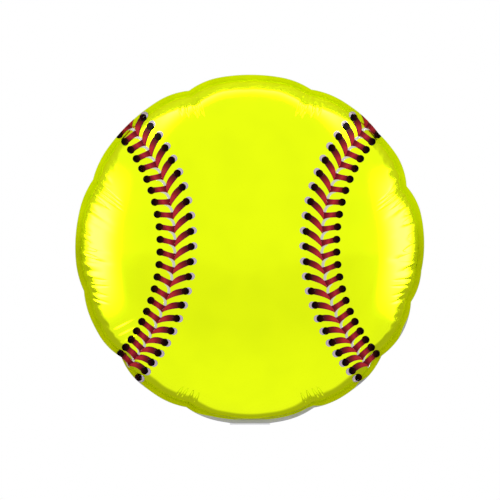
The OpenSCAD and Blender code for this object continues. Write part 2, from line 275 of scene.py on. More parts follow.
def make_film(name, puckers, side):
    """A dome with a fine outer face, a coarser inner one and a wall between them at the weld line."""
    sides, coarse, inner_rings = 1200, 4, 20
    inner_sides = sides // coarse
    smooth_middle = np.linspace(0.06, 0.6, 10)
    puckered = np.sin(np.linspace(math.asin(0.6), math.pi / 2, 60))[1:]
    shares = np.concatenate([smooth_middle, puckered])[:, None]
    rings = len(shares)
    angles = spread_round(sides)[None]
    outer = film_point(angles, shares, 0, puckers)
    shares_in = np.sin(np.linspace(0, math.pi / 2, inner_rings + 1))[1:, None]
    inner = film_point(angles[:, ::coarse], shares_in, -2 * film_t)
    crown = film_point(np.zeros(2), np.zeros(2), np.array([0, -2 * film_t]))
    points = np.concatenate([crown[:1], outer.reshape(-1, 3), crown[1:], inner.reshape(-1, 3)])
    second = 1 + sides * rings
    faces = ring_faces(0, sides, rings)
    faces += [f[::-1] for f in ring_faces(second, inner_sides, inner_rings)]
    rim, inner_rim = 1 + sides * (rings - 1), second + 1 + inner_sides * (inner_rings - 1)
    for j in range(inner_sides):
        edge = [rim + (coarse * j + n) % sides for n in range(coarse + 1)]
        faces.append(edge[::-1] + [inner_rim + j, inner_rim + (j + 1) % inner_sides])
    if side > 0:
        points[:, 1] *= -1
        faces = [f[::-1] for f in faces]
    piece = add_piece(name, points, faces)

    both = [np.tile(s, (1, n)).ravel() for s, n in ((shares, sides), (shares_in, inner_sides))]
    add_numbers(piece, "share", np.concatenate([[0], both[0], [0], both[1]]))

    # The map lies as the disc was cut, with the inner face small in a corner
    flat = np.interp(np.arcsin(shares), turn, arc_table) / arc_table[-1]
    flat_in = np.interp(np.arcsin(shares_in), turn, arc_table) / arc_table[-1]
    uv = [np.zeros((1, 2))]
    for around, out, (size, _) in ((angles, flat, OUTER_MAP), (angles[:, ::coarse], flat_in, INNER_MAP)):
        a = np.radians(around)
        uv += [size * np.stack([out * np.sin(a), out * np.cos(a)], -1).reshape(-1, 2), np.zeros((1, 2))]
    uv = np.concatenate(uv[:-1])
    uv[:second] += OUTER_MAP[1]
    uv[second:] += INNER_MAP[1]
    corners = np.zeros(len(piece.data.loops), np.int32)
    piece.data.loops.foreach_get("vertex_index", corners)
    layer = piece.data.uv_layers.new(name="OFBake")
    layer.data.foreach_set("uv", uv[corners].astype(np.float32).ravel())
    return piece


class Wire:
    """An output of a material's node. Sums and products of wires add Math nodes."""

    def __init__(self, tree, socket=None):
        self.tree, self.socket = tree, socket

    def node(self, kind, settings=None, inputs=None, output=0):
        made = self.tree.nodes.new(kind)
        for name, value in (settings or {}).items():
            if name == "stops":
                stops = made.color_ramp.elements
                while len(stops) < len(value):
                    stops.new(1)
                for stop, (place, colour) in zip(stops, value):
                    stop.position, stop.color = place, (*colour, 1)
            else:
                setattr(made, name, value)
        for name, value in (inputs or {}).items():
            if isinstance(value, Wire):
                self.tree.links.new(value.socket, made.inputs[name])
            else:
                made.inputs[name].default_value = value
        return Wire(self.tree, made.outputs[output])

    def maths(self, operation, a, b):
        return self.node("ShaderNodeMath", {"operation": operation}, {0: a, 1: b})

    def __add__(self, other):
        return self.maths("ADD", self, other)

    def __sub__(self, other):
        return self.maths("SUBTRACT", self, other)

    def __rsub__(self, other):
        return self.maths("SUBTRACT", other, self)

    def __mul__(self, other):
        return self.maths("MULTIPLY", self, other)

    def __pow__(self, other):
        return self.maths("POWER", self, other)

    __radd__ = __add__


def new_finish(name):
    """A material, and a wire from which its nodes are made."""
    material = bpy.data.materials.new(name)
    material.use_nodes = True
    return material, Wire(material.node_tree)


def set_surface(material, **inputs):
    """Values and wires for the shader. Base_Color stands for Base Color."""
    shader = material.node_tree.nodes["Principled BSDF"]
    for name, value in inputs.items():
        socket = shader.inputs[name.replace("_", " ")]
        if isinstance(value, Wire):
            material.node_tree.links.new(value.socket, socket)
        else:
            socket.default_value = (*value, 1) if isinstance(value, tuple) else value


def foil_grain(wire, strength):
    """Unevenness of stretched film: faint, broad ripples."""
    place = wire.node("ShaderNodeTexCoord", output="Object")
    ripple = wire.node("ShaderNodeTexNoise", {}, {"Vector": place, "Scale": 30, "Detail": 1})
    bump = {"Strength": strength, "Distance": 0.4 * MM, "Height": ripple}
    return ripple, wire.node("ShaderNodeBump", {}, bump)


def add_varnish(material, weight=0.025):
    """The clear coat over the inks and the printed yellow film, which gives the highlights their white.
    """
    set_surface(material, Coat_Weight=weight, Coat_Roughness=0.1, Coat_IOR=2.5)


yellow_foil, wire = new_finish("printed yellow foil")
ripple, grain = foil_grain(wire, 0.04)
YELLOW = (0.83, 1.0, 0.0)
DEEP_YELLOW = (0.8, 0.97, 0.0)
tint = wire.node(
    "ShaderNodeValToRGB", {"stops": [(0.3, DEEP_YELLOW), (0.6, YELLOW)]}, {"Fac": ripple}
)
set_surface(
    yellow_foil, Base_Color=tint, Metallic=1.0, Roughness=0.09 + ripple * 0.06, Normal=grain,
    Specular_Tint=(0.98, 1.0, 0.0),
)
share = wire.node("ShaderNodeAttribute", {"attribute_name": "share"}, output="Fac")
away = wire.node(
    "ShaderNodeMapRange", {"interpolation_type": "SMOOTHSTEP"},
    {"Value": share, "From Min": 0.995, "From Max": 0.97, "To Max": 0.03},
)
add_varnish(yellow_foil, away)

front_film = make_film("front_film", front_puckers, -1)
front_film.data.materials.append(yellow_foil)
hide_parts("front_panel")
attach(front_film, "envelope")

# Back film: the same disc of metallised film, left unprinted and silver. It's blown up the other way
# and welded to the front film all round.
silver_foil, wire = new_finish("plain silver foil")
ripple, grain = foil_grain(wire, 0.15)
tint = wire.node(
    "ShaderNodeValToRGB",
    {"stops": [(0.3, (0.58, 0.58, 0.61)), (0.65, (0.7, 0.7, 0.72))]},
    {"Fac": ripple},
)
set_surface(silver_foil, Base_Color=tint, Metallic=1.0, Roughness=0.12 + ripple * 0.14, Normal=grain)

back_film = make_film("back_film", back_puckers, 1)
back_film.data.materials.append(silver_foil)
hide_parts("back_panel")
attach(back_film, "envelope")

# Hem: the two films welded flat to each other outside the dome, about five millimetres wide. The
# printed yellow stops a little short of the edge in places, where bare silver shows.
HEM_WIDTH = 5 * MM
HEM_T = 0.5 * MM
# How far the hem runs on inwards between the two domes
HEM_INWARDS = 2.5 * MM
# The share of its width, from the inner edge, at which the hem is free to wave
HEM_FREE = 0.33
tail_half_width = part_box("tail_front_ply")[1].x
neck_z = math.sqrt((weld_r + HEM_WIDTH) ** 2 - tail_half_width**2)
# Where the print ends short of the edge: degrees, and millimetres of bare film
BARE = [
    (112, 0), (117, 1.6), (121, 0), (137, 0), (140, 2.2), (143, 0), (155, 0), (160, 3.2), (175, 4),
    (186, 3.8), (193, 3.0), (199, 0), (217, 0), (220, 0.7), (223, 0),
]


def hem_edge(angle):
    """Radius of the hem's outer edge, which is straight where the tail leaves it."""
    free = weld_r + HEM_WIDTH - drawn_in(angle)
    down = -np.cos(np.radians(angle))
    across = np.abs(free * np.sin(np.radians(angle)))
    straight = neck_z / np.maximum(down, 0.5)
    return np.where((down > 0.5) & (across < tail_half_width), np.minimum(free, straight), free)


def hem_wave(angle, share):
    """The hem's free edge waves a little to the front and back."""
    a = np.radians(angle)
    wave = 0.5 * np.sin(17 * a + 1) + 0.35 * np.sin(41 * a) + 0.25 * np.sin(73 * a + 2)
    flat_at_tail = smooth((np.abs((angle % 360) - 180) - 7) / 6)
    return wave * MM * flat_at_tail * np.clip(share, 0, 1) ** 1.5


def make_hem():
    sides, rows = 1440, 8
    angle = (np.arange(sides) * 360 / sides)[None]
    start = weld_r - drawn_in(angle) - HEM_INWARDS
    share = np.linspace(0, 1, rows + 1)[:, None]
    radius = start + (hem_edge(angle) - start) * share
    y = hem_wave(angle, (share - HEM_FREE) / (1 - HEM_FREE))
    turned = np.radians(angle)
    x, z = radius * np.sin(turned), radius * np.cos(turned)
    both = [np.stack(np.broadcast_arrays(x, y + shift, z), -1) for shift in (-HEM_T / 2, HEM_T / 2)]
    count = sides * (rows + 1)
    j = np.arange(sides)
    k = (j + 1) % sides
    faces = []
    for i in range(rows):
        near, far = i * sides, (i + 1) * sides
        faces += list(zip(near + j, far + j, far + k, near + k))
        faces += list(zip(count + near + k, count + far + k, count + far + j, count + near + j))
    last, broad = rows * sides, len(faces)
    faces += list(zip(last + k, last + j, count + last + j, count + last + k))
    faces += list(zip(j, k, count + k, count + j))
    piece = add_piece("weld_hem_film", np.concatenate(both), faces)
    piece.data.polygons.foreach_set("use_smooth", [True] * broad + [False] * (2 * sides))
    bare = np.interp(angle, *zip(*BARE)) * MM
    printed = hem_edge(angle) - bare - radius
    add_numbers(piece, "printed", np.concatenate([printed, np.full(printed.shape, -1.0)]) / MM)
    return piece


hem_film, wire = new_finish("welded hem")
ripple, grain = foil_grain(wire, 0.04)
printed = wire.node("ShaderNodeAttribute", {"attribute_name": "printed"}, output="Fac")
covered = wire.node(
    "ShaderNodeMapRange", {}, {"Value": printed, "From Min": -0.1, "From Max": 0.25}
)
# Painted shade: the print on the hem is a darker olive than the dome's yellow, standing in for the dark
# band at the rim, and it's darker towards the bottom
up = wire.node("ShaderNodeSeparateXYZ", {}, {0: wire.node("ShaderNodeTexCoord", output="Object")}, 2)
height = wire.node("ShaderNodeMapRange", {}, {"Value": up, "From Min": -weld_r, "From Max": weld_r})
print_with_painted_shade = wire.node(
    "ShaderNodeValToRGB",
    {"stops": [
        (0.0, (0.5, 0.56, 0.0)), (0.3, (0.55, 0.61, 0.0)), (0.5, (0.49, 0.55, 0.0)),
        (0.62, (0.7, 0.82, 0.0)), (0.8, (0.7, 0.83, 0.0)), (1.0, (0.73, 0.86, 0.0)),
    ]},
    {"Fac": height},
)
tint = wire.node(
    "ShaderNodeMix",
    {"data_type": "RGBA"},
    {"Factor": covered, 6: (0.46, 0.45, 0.51, 1), 7: print_with_painted_shade},
    output=2,
)
set_surface(
    hem_film, Base_Color=tint, Metallic=0.1, Roughness=0.35 + ripple * 0.12, Normal=grain,
    Specular_IOR_Level=0.05, Specular_Tint=(0.84, 1.0, 0.0),
)

hem = make_hem()
hem.data.materials.append(hem_film)
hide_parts("weld_hem")
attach(hem, "envelope")

# Printed lacing: four inks laid on the film for the two rows of softball stitches. Pale seam lines and
# the pale rims of the holes go down first, then the red stitches, then the dark holes.
INK_T = 0.06 * MM
INK_STEP = 0.11 * MM
# How many steps the lowest ink lies off the film, and how far inside the hem's edge the print ends
LOWEST_INK = 1.2
INK_INSET = 0.1 * MM


def on_face(place, lift):
    """The printed face at a place given in millimetres from its middle, out to the hem's edge."""
    x, z = place[..., 0] * MM, place[..., 1] * MM
    angle = np.degrees(np.arctan2(x, z)) % 360
    edge = hem_edge(angle) - INK_INSET
    radius = np.minimum(np.hypot(x, z), edge)
    drawn = drawn_in(angle)
    share = radius / weld_r
    for _ in range(6):
        share = (radius + drawn * gathered(share)) / weld_r
    dome = film_point(angle, np.minimum(share, 1), lift, front_puckers)
    rim = weld_r - drawn
    y = hem_wave(angle, (radius - rim) / HEM_WIDTH) - HEM_T / 2 - lift
    flat = np.stack([radius * np.sin(np.radians(angle)), y, radius * np.cos(np.radians(angle))], -1)
    return np.where((radius > rim)[..., None], flat, dome), np.hypot(x, z) > edge


def add_sheet(name, top, bottom, faces, numbers=()):
    """A thin closed piece from two faces that match, and a wall along their free edges."""
    faces = [tuple(int(n) for n in f) for f in faces]
    used = sorted({n for f in faces for n in f})
    place = {n: i for i, n in enumerate(used)}
    faces = [tuple(place[n] for n in f) for f in faces]
    count = len(used)
    edges = {(f[i], f[(i + 1) % len(f)]) for f in faces for i in range(len(f))}
    walls = [(b, a, a + count, b + count) for a, b in sorted(edges) if (b, a) not in edges]
    under = [tuple(n + count for n in f[::-1]) for f in faces]
    piece = add_piece(name, np.concatenate([top[used], bottom[used]]), faces + under + walls)
    piece.data.polygons.foreach_set("use_smooth", [True] * (2 * len(faces)) + [False] * len(walls))
    for key, values in numbers:
        add_numbers(piece, key, np.concatenate([values[used], values[used]]))
    return piece


def curve(start, middle, end, s):
    return (1 - s) ** 2 * np.array(start) + 2 * s * (1 - s) * np.array(middle) + s * s * np.array(end)


def band(one_edge, other_edge):
    """A mark between two curved edges as a grid of places, each with its share along and across."""
    along, across = np.meshgrid(np.linspace(0, 1, 31), np.linspace(-1, 1, 11), indexing="ij")
    s, share = along[..., None], (across[..., None] + 1) / 2
    return (1 - share) * curve(*one_edge, s) + share * curve(*other_edge, s), along, across


def dot(centre, diameter):
    """A round dot as a square grid drawn into a circle."""
    u, v = np.meshgrid(np.linspace(-1, 1, 11), np.linspace(-1, 1, 11), indexing="ij")
    x, z = u * np.sqrt(1 - v * v / 2), v * np.sqrt(1 - u * u / 2)
    places = np.array(centre) + np.stack([x, z], -1) * diameter / 2
    return places, np.hypot(x, z), x


def lay_ink(name, groups):
    """Marks printed on the face, in groups one over the other: (level, marks). What would fall outside
    the hem's edge is left out."""
    places, alongs, acrosses, levels, faces, first = [], [], [], [], [], 0
    for level, marks in groups:
        for place, along, across in marks:
            rows, columns = along.shape
            i, j = np.meshgrid(np.arange(rows - 1), np.arange(columns - 1), indexing="ij")
            near = first + (i * columns + j).ravel()
            faces.append(np.stack([near, near + columns, near + columns + 1, near + 1], 1))
            first += rows * columns
            places.append(place.reshape(-1, 2))
            alongs.append(along.ravel())
            acrosses.append(across.ravel())
            levels.append(np.full(along.size, (LOWEST_INK + level) * INK_STEP))
    places, levels, faces = np.concatenate(places), np.concatenate(levels), np.concatenate(faces)
    bottom, outside = on_face(places, levels)
    top, _ = on_face(places, levels + INK_T)
    faces = faces[~outside[faces].all(1)]
    a, b, c = places[faces[:, 0]], places[faces[:, 1]], places[faces[:, 2]]
    turned = (b - a)[:, 0] * (c - a)[:, 1] - (b - a)[:, 1] * (c - a)[:, 0] < 0
    faces[turned] = faces[turned][:, ::-1]
    numbers = (("along", np.concatenate(alongs)), ("across", np.concatenate(acrosses)))
    return add_sheet(name, top, bottom, faces, numbers)


# The lacing follows three arcs whose centres lie beside the balloon: how far away the centre is, the
# arc's radius, the angle of the widest place, the angle from stitch to stitch there and its number
CENTRE_UP = 4.5
POINT_ROW = (252.3, 179.3, 3.67, 4.4, 9)
INNER_ROW = (249.0, 192.0, 3.1, 4.5, 10.2)
OUTER_ROW = (254.4, 166.7, 1.9, 4.32, 10)
CROWDING = 30.5
# The whole print lies a little to the left of the balloon's middle
PRINT_LEFT = 1.6
STITCHES = range(22)
# The seam line's two edges from one stitch to the next: places beside the points of this stitch, of
# this one again and of the next one
SEAM_EDGES = (((-4.6, 3.4), (1.5, 1.6), (1.5, 7.2)), ((-6.4, 2.2), (-1.0, 0.2), (-1.3, 7.2)))
# Places beside a stitch's point that bend each arm's lower and upper edge, where the straight arm's
# upper edge starts, and the way in to each arm's hole
BOWED_LOWER, BOWED_UPPER, BOWED_WAY = (4.5, 6.0), (-1.3, 12.3), (1.5, 9.4)
STRAIGHT_LOWER, STRAIGHT_UPPER, STRAIGHT_WAY = (-2.0, 2.9), (-5, 7.4), (-3.5, 5.2)
STRAIGHT_START = (1.2, 7.4)
# Half widths of the arms at their holes, and sizes of the holes and of the pale rims beside them
BOWED_HALF, STRAIGHT_HALF = 2.9, 3.1
HOLE_D, RIM_D, RIM_OUT, RIM_TURN = 7.4, 7.2, 2.8, math.radians(21)
INNER_HOLES, OUTER_HOLES = 23, 22


def row_angle(row, i):
    k = i - row[4]
    return math.radians(row[2] - row[3] * k * (1 - abs(k / CROWDING) ** 2.25))


def on_row(side, row, i, reach=0):
    angle = row_angle(row, i)
    return np.array([
        side * (row[0] - (row[1] + reach) * math.cos(angle)) - PRINT_LEFT,
        CENTRE_UP + (row[1] + reach) * math.sin(angle),
    ])


def by_point(side, i, towards, up):
    """A place beside a stitch's point: millimetres towards the middle, and up the seam."""
    angle = row_angle(POINT_ROW, i)
    return on_row(side, POINT_ROW, i, towards) + up * np.array([side * math.sin(angle), math.cos(angle)])


def across_to(hole, place, half_width):
    """Half the width of an arm at its hole, square to the way in from a place, on its upper side."""
    way = np.array(place) - hole
    square = np.array([-way[1], way[0]]) / np.hypot(*way) * half_width
    return square if square[1] > 0 else -square


seam_ink, wire = new_finish("pale seam ink")
along = wire.node("ShaderNodeAttribute", {"attribute_name": "along"}, output="Fac")
tint = wire.node(
    "ShaderNodeValToRGB",
    {"stops": [
        (0.0, (0.693, 0.77, 0.347)), (0.3, (0.678, 0.662, 0.524)), (0.6, (0.662, 0.631, 0.562)),
    ]},
    {"Fac": along},
)
set_surface(seam_ink, Base_Color=tint, Roughness=0.35, Specular_IOR_Level=0.05)
add_varnish(seam_ink)

rim_ink, wire = new_finish("pale hole rim ink")
out = wire.node("ShaderNodeAttribute", {"attribute_name": "along"}, output="Fac")
tint = wire.node(
    "ShaderNodeValToRGB",
    {"stops": [
        (0.0, (0.539, 0.424, 0.424)), (0.6, (0.616, 0.508, 0.554)), (1.0, (0.447, 0.339, 0.616)),
    ]},
    {"Fac": out},
)
set_surface(rim_ink, Base_Color=tint, Roughness=0.35, Specular_IOR_Level=0.05)
add_varnish(rim_ink)

stitch_ink, wire = new_finish("red stitch ink")
along = wire.node("ShaderNodeAttribute", {"attribute_name": "along"}, output="Fac")
across = wire.node("ShaderNodeAttribute", {"attribute_name": "across"}, output="Fac")
edge = wire.node("ShaderNodeMath", {"operation": "ABSOLUTE"}, {0: across}) ** 3
# The first half of each ramp is a bowed arm from its point to its hole, and the second a straight arm
centre_tint = wire.node(
    "ShaderNodeValToRGB",
    {"stops": [
        (0.0, (0.45, 0.02, 0.026)), (0.24, (0.48, 0.023, 0.029)), (0.34, (0.24, 0.012, 0.013)),
        (0.44, (0.065, 0.0058, 0.0058)), (0.495, (0.016, 0.0022, 0.0022)),
        (0.505, (0.094, 0.0014, 0.0043)), (0.66, (0.23, 0.0072, 0.013)), (0.79, (0.46, 0.022, 0.03)),
        (0.88, (0.23, 0.01, 0.013)), (1.0, (0.022, 0.0022, 0.0022)),
    ]},
    {"Fac": along * 0.5},
)
edge_tint = wire.node(
    "ShaderNodeValToRGB",
    {"stops": [
        (0.0, (0.32, 0.0, 0.032)), (0.2, (0.36, 0.0, 0.047)), (0.36, (0.19, 0.0, 0.04)),
        (0.495, (0.029, 0.0, 0.018)), (0.505, (0.079, 0.0, 0.0072)), (0.7, (0.3, 0.0, 0.036)),
        (0.82, (0.35, 0.0, 0.043)), (1.0, (0.029, 0.0, 0.014)),
    ]},
    {"Fac": along * 0.5},
)
tint = wire.node(
    "ShaderNodeMix", {"data_type": "RGBA"}, {"Factor": edge, 6: centre_tint, 7: edge_tint}, output=2
)
set_surface(
    stitch_ink, Base_Color=tint, Roughness=0.35, Specular_IOR_Level=0.0,
    Specular_Tint=(0.6, 0.1, 0.2),
)
add_varnish(stitch_ink)

hole_ink, wire = new_finish("dark hole ink")
across = wire.node("ShaderNodeAttribute", {"attribute_name": "across"}, output="Fac")
tint = wire.node(
    "ShaderNodeValToRGB",
    {"stops": [
        (0.12, (0.0308, 0.00308, 0.00385)), (0.4, (0.0123, 0.00077, 0.00077)),
        (0.7, (0.00231, 0.0, 0.00077)),
    ]},
    {"Fac": across * 0.5 + 0.5},
)
set_surface(
    hole_ink, Base_Color=tint, Roughness=0.35, Specular_IOR_Level=0.0,
    Specular_Tint=(0.2, 0.1, 0.1),
)
add_varnish(hole_ink, 0.01)

printed_pieces = [front_film]
for side, word in ((-1, "left"), (1, "right")):
    seams, rims, bowed_arms, straight_arms = [], [], [], []
    for i in STITCHES:
        seams.append(band(*(
            (by_point(side, i, *first), by_point(side, i, *second), by_point(side, i + 1, *third))
            for first, second, third in SEAM_EDGES
        )))
        hole, point = on_row(side, INNER_ROW, i), by_point(side, i, 0, 0)
        square = across_to(hole, by_point(side, i, *BOWED_WAY), BOWED_HALF)
        bowed_arms.append(band(
            (point, by_point(side, i, *BOWED_LOWER), hole - square),
            (point, by_point(side, i, *BOWED_UPPER), hole + square),
        ))
        hole = on_row(side, OUTER_ROW, i)
        square = across_to(hole, by_point(side, i, *STRAIGHT_WAY), STRAIGHT_HALF)
        straight_arms.append(band(
            (point, by_point(side, i, *STRAIGHT_LOWER), hole - square),
            (by_point(side, i, *STRAIGHT_START), by_point(side, i, *STRAIGHT_UPPER), hole + square),
        ))
    for i in range(INNER_HOLES):
        way = row_angle(POINT_ROW, i) + RIM_TURN
        towards = np.array([-side * math.cos(way), math.sin(way)])
        rims.append(dot(on_row(side, INNER_ROW, i) + RIM_OUT * towards, RIM_D))
    # A hole's number across is -1 at its edge nearest the seam and 1 at its far edge
    holes = []
    for row, count, way in ((INNER_ROW, INNER_HOLES, -side), (OUTER_ROW, OUTER_HOLES, side)):
        for i in range(count):
            place, out, x = dot(on_row(side, row, i), HOLE_D)
            holes.append((place, out, x * way))
    straight_arms = [(place, along + 1, across) for place, along, across in straight_arms]
    for ink, groups, part in (
        (seam_ink, [(0, seams)], "seam_line"), (rim_ink, [(0, rims)], "hole_rims"),
        (stitch_ink, [(0.9, straight_arms), (1.8, bowed_arms)], "stitches"),
        (hole_ink, [(2.7, holes)], "stitch_holes"),
    ):
        piece = lay_ink(f"{word}_{part}_print", groups)
        piece.data.materials.append(ink)
        printed_pieces.append(piece)
        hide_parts(f"{word}_{part}")
        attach(piece, "envelope")

# Tail: two plies of the same film, welded down both sides and across the end, with the hole for the
# ribbon. The front ply has the hole that the nozzle goes into. It lies folded back under the balloon.
CREASE_GAP = 1.2 * MM
TAIL_T = 0.5 * MM
TAIL_LENGTH = 72 * MM
TAIL_CORNER = 12 * MM
TAIL_FOLD = math.radians(104)
INLET_DOWN, INLET_R = 38 * MM, 5 * MM
RIBBON_DOWN, RIBBON_R = 63 * MM, 2.5 * MM
# Inside its welds each ply stands out a little further, from the neck to just past the inlet
TAIL_WELD, TAIL_PUFF, PUFF_END = 5 * MM, 0.35 * MM, 50 * MM
crease_z = neck_z + CREASE_GAP


def folded(points):
    """Places of the hanging tail, [across, out to the front, down from the crease], at rest."""
    x, y, down = points[..., 0], -points[..., 1], -points[..., 2]
    c, s = math.cos(TAIL_FOLD), math.sin(TAIL_FOLD)
    return np.stack([x, y * c - down * s, y * s + down * c - crease_z], -1)


def circle(centre, radius, count, start=0.0, end=360.0):
    a = np.radians(np.linspace(start, end, count, endpoint=abs(end - start) < 360))
    return [(centre[0] + radius * math.cos(t), centre[1] + radius * math.sin(t)) for t in a]


def fill_outline(outline, holes, step):
    """Triangles of a flat outline with round holes. Holes are (x, down, radius)."""
    points = [Vector(p) for p in outline]
    edges = [(i, (i + 1) % len(outline)) for i in range(len(outline))]
    for x, down, radius in holes:
        first, ring = len(points), circle((x, down), radius, 32)
        points += [Vector(p) for p in ring]
        edges += [(first + i, first + (i + 1) % len(ring)) for i in range(len(ring))]
    low, high = np.min(outline, 0), np.max(outline, 0)
    for x in np.arange(low[0] + step, high[0] - step / 2, step):
        for down in np.arange(low[1] + step, high[1] - step / 2, step):
            if all(math.hypot(x - h[0], down - h[1]) > h[2] + step / 3 for h in holes):
                points.append(Vector((x, down)))
    found = delaunay_2d_cdt(points, edges, [list(range(len(outline)))], 1, 1e-7)
    flat = np.array([tuple(p) for p in found[0]])
    faces = [
        f for f in found[2]
        if all(np.hypot(*(flat[list(f)].mean(0) - h[:2])) > h[2] for h in holes)
    ]
    return flat, faces


def add_film(name, flat, faces, height, thickness, place):
    """A flat sheet whose middle stands out to the front by height, laid where place puts it."""
    top = np.column_stack([flat[:, 0], height + thickness / 2, flat[:, 1]])
    bottom = np.column_stack([flat[:, 0], height - thickness / 2, flat[:, 1]])
    a, b, c = (top[n] for n in faces[0][:3])
    if np.cross(b - a, c - a)[1] < 0:
        faces = [f[::-1] for f in faces]
    return add_sheet(name, place(top), place(bottom), [f[::-1] for f in faces])


corner = TAIL_CORNER
half = tail_half_width
tail_outline = [(-half, CREASE_GAP), (half, CREASE_GAP)]
tail_outline += circle((half - corner, TAIL_LENGTH - corner), corner, 13, 0, 90)
tail_outline += circle((corner - half, TAIL_LENGTH - corner), corner, 13, 90, 180)

tail_foil, wire = new_finish("plain tail foil")
ripple, grain = foil_grain(wire, 0.25)
set_surface(
    tail_foil, Base_Color=(0.8, 0.8, 0.82), Metallic=0.7, Roughness=0.22 + ripple * 0.15, Normal=grain
)

for side, name, node, holes in (
    (1, "tail_front_film", "tail_front_ply", [(0, INLET_DOWN, INLET_R), (0, RIBBON_DOWN, RIBBON_R)]),
    (-1, "tail_back_film", "tail_back_ply", [(0, RIBBON_DOWN, RIBBON_R)]),
):
    flat, faces = fill_outline(tail_outline, holes, 1.5 * MM)
    inside = smooth((half - TAIL_WELD - np.abs(flat[:, 0])) / (5 * MM))
    inside = inside * smooth((PUFF_END - flat[:, 1]) / (8 * MM)) * smooth(flat[:, 1] / (6 * MM))
    height = side * (TAIL_T / 2 + TAIL_PUFF * inside)
    piece = add_film(name, flat, faces, height, TAIL_T * 0.9, folded)
    piece.data.materials.append(tail_foil)
    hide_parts(node)
    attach(piece, "tail")

# Crease: the neck, where the two films run on from the hem into the tail, bent round as far as the tail
# is folded at rest.
CREASE_T = 0.5 * MM
CREASE_REACH = CREASE_GAP + 0.4 * MM
CREASE_COLUMNS = 41
steps = 12
bend = []
for i in range(steps + 1):
    s = i / steps
    out = np.array([0, CREASE_REACH])
    back = np.array([math.sin(TAIL_FOLD), -math.cos(TAIL_FOLD)]) * CREASE_REACH
    bend.append((1 - s) ** 2 * out + s * s * back)
bend = np.array(bend)
heading = np.gradient(bend, axis=0)
heading /= np.linalg.norm(heading, axis=1, keepdims=True)
square = np.stack([-heading[:, 1], heading[:, 0]], 1)
columns = np.linspace(-half + 0.1 * MM, half - 0.1 * MM, CREASE_COLUMNS)
faces = [
    (first + j, first + j + 1, first + CREASE_COLUMNS + j + 1, first + CREASE_COLUMNS + j)
    for first in range(0, steps * CREASE_COLUMNS, CREASE_COLUMNS) for j in range(CREASE_COLUMNS - 1)
]
both = []
for shift in (-CREASE_T / 2, CREASE_T / 2):
    line = bend + square * shift
    grid = np.zeros((steps + 1, CREASE_COLUMNS, 3))
    grid[..., 0] = columns
    grid[..., 1] = line[:, :1]
    grid[..., 2] = line[:, 1:] - crease_z
    both.append(grid.reshape(-1, 3))
crease = add_sheet("crease_film", both[0], both[1], faces)
crease.data.materials.append(tail_foil)
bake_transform(crease)

# Valve: two clear films that lie against each other from the inlet up into the balloon, where the gas
# presses them shut. A release coat in the neck keeps them from being welded to each other.
VALVE_T = 0.08 * MM
VALVE_OUT = 0.1 * MM
VALVE_HALF = 15 * MM
VALVE_UP = 112 * MM
VALVE_DOWN = 50 * MM

valve_film, wire = new_finish("clear valve film")
ripple, grain = foil_grain(wire, 0.2)
set_surface(
    valve_film, Base_Color=(0.85, 0.88, 0.9), Roughness=0.15 + ripple * 0.1, Alpha=0.45, Normal=grain
)


def standing(points):
    """Places of the valve inside the balloon, [across, out to the front, up from the neck]."""
    return np.stack([points[..., 0], -points[..., 1], points[..., 2] - neck_z], -1)


for side, word in ((1, "front"), (-1, "back")):
    outline = [(-VALVE_HALF, 0), (VALVE_HALF, 0), (VALVE_HALF, VALVE_UP), (-VALVE_HALF, VALVE_UP)]
    flat, faces = fill_outline(outline, [], 3 * MM)
    free = smooth((flat[:, 1] - 20 * MM) / (80 * MM))
    ripples = 1.2 * MM * np.sin(flat[:, 1] / (17 * MM)) + 0.6 * MM * np.sin(flat[:, 0] / (5 * MM))
    height = side * VALVE_OUT + free * ripples + side * free * 0.8 * MM
    piece = add_film(f"valve_{word}_sheet", flat, faces, height, VALVE_T, standing)
    piece.data.materials.append(valve_film)
    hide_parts(f"valve_{word}_film")
    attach(piece, "envelope")

    outline = [
        (-VALVE_HALF, CREASE_GAP), (VALVE_HALF, CREASE_GAP), (VALVE_HALF, VALVE_DOWN),
        (-VALVE_HALF, VALVE_DOWN),
    ]
    flat, faces = fill_outline(outline, [(0, INLET_DOWN, INLET_R)] if side > 0 else [], 2 * MM)
    height = np.full(len(flat), side * VALVE_OUT)
    piece = add_film(f"inlet_{word}_sheet", flat, faces, height, VALVE_T, folded)
    piece.data.materials.append(valve_film)
    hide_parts(f"inlet_{word}_film")
    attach(piece, "tail")

COAT_HALF, COAT_LENGTH, COAT_T = 10 * MM, 34 * MM, 0.1 * MM
release_coat, wire = new_finish("release coat")
ripple, grain = foil_grain(wire, 0.1)
set_surface(release_coat, Base_Color=(0.5, 0.65, 0.78), Roughness=0.4 + ripple * 0.2, Normal=grain)
outline = [(-COAT_HALF, 0), (COAT_HALF, 0), (COAT_HALF, COAT_LENGTH), (-COAT_HALF, COAT_LENGTH)]
flat, faces = fill_outline(outline, [], 3 * MM)
coat = add_film("release_coat_patch", flat, faces, np.zeros(len(flat)), COAT_T, standing)
coat.data.materials.append(release_coat)
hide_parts("valve_release_coat")
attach(coat, "envelope")

# Studio: a pale floor well below the balloon, which floats, a white surround, soft cards that the foil
# mirrors as its pale highlights, and a grey card behind it for the dark band at its rim.
FLOOR_DROP = 1.1
CARDS_OUT = 1.7
SIDE_CARDS_UP = 0.12
GREY_CARD_BACK = 0.9


def add_card(name, place, points, faces=((0, 1, 2, 3),)):
    """A flat card that the foil mirrors, and that nothing else sees. Points are from its place."""
    card = add_piece(name, np.array(points, float), faces)
    card.location = place
    card.visible_camera = False
    card.visible_shadow = False
    card.visible_diffuse = False
    return card


